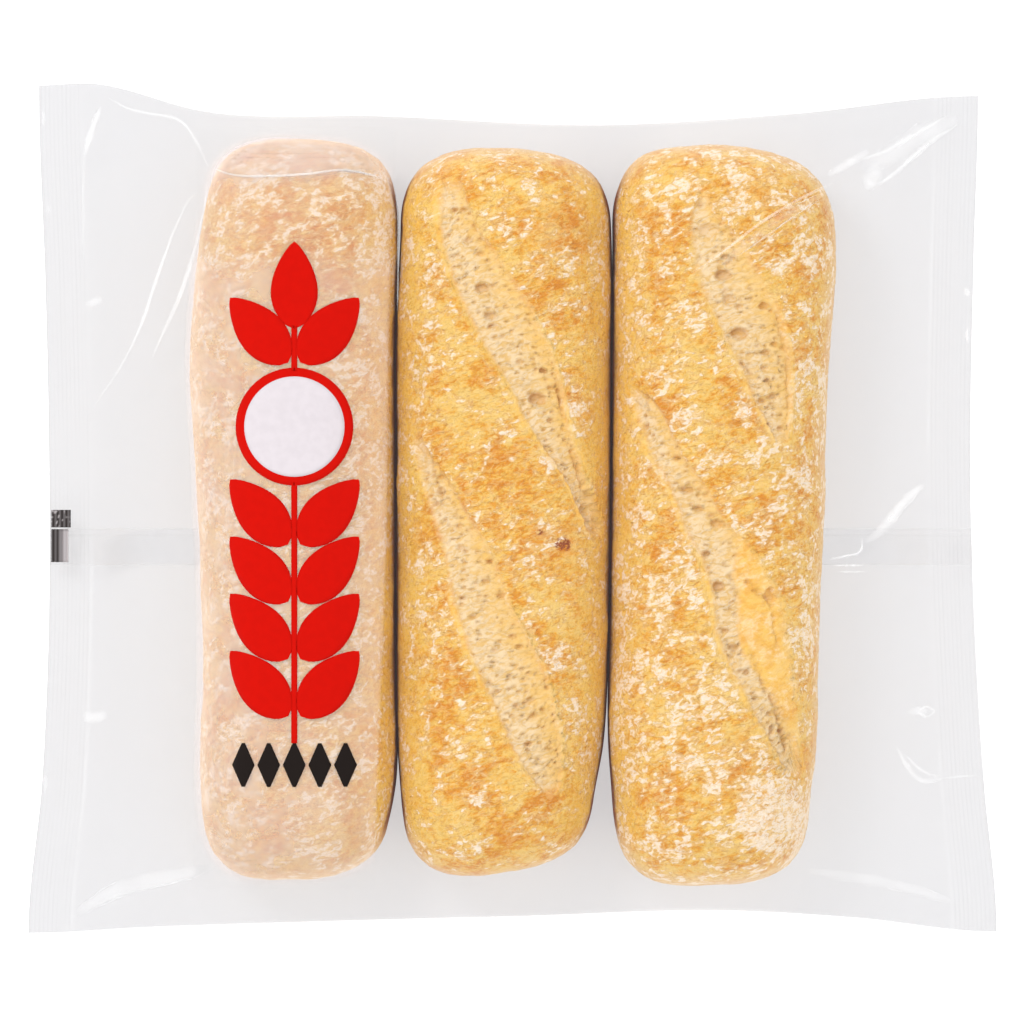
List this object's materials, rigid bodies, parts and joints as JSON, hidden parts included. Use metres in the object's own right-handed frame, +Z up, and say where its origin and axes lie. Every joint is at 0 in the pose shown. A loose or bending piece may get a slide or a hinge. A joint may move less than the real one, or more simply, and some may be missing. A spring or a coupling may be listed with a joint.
{
  "type": "sealed clear film bag of baguettes",
  "caption": "Clear film bag, crimped shut at both ends, holding short slashed baguettes side by side; it lies flat with its shown side up.",
  "frame": {"origin": "middle of the flat underside on which the bag lies", "axes": "+Z up out of the shown side, X from end seal to end seal, Y along the loaves"},
  "size_m": [0.2912, 0.256, 0.0463],
  "materials": {
    "film": "thin clear packing film with sharp white glints, a milky field over one loaf, fine crimp ribs in the two end seals",
    "crust": "matt pale golden part-baked crust, toasted in places, with fine wrinkles, blisters and flecks of flour; open slashes show cream crumb with holes",
    "print_red": "opaque bright red ink printed on the film",
    "print_white": "opaque white ink printed on the film",
    "print_black": "opaque black ink printed on the film"
  },
  "bodies": {
    "root": {"bag": "film"}
  },
  "joints": []
}
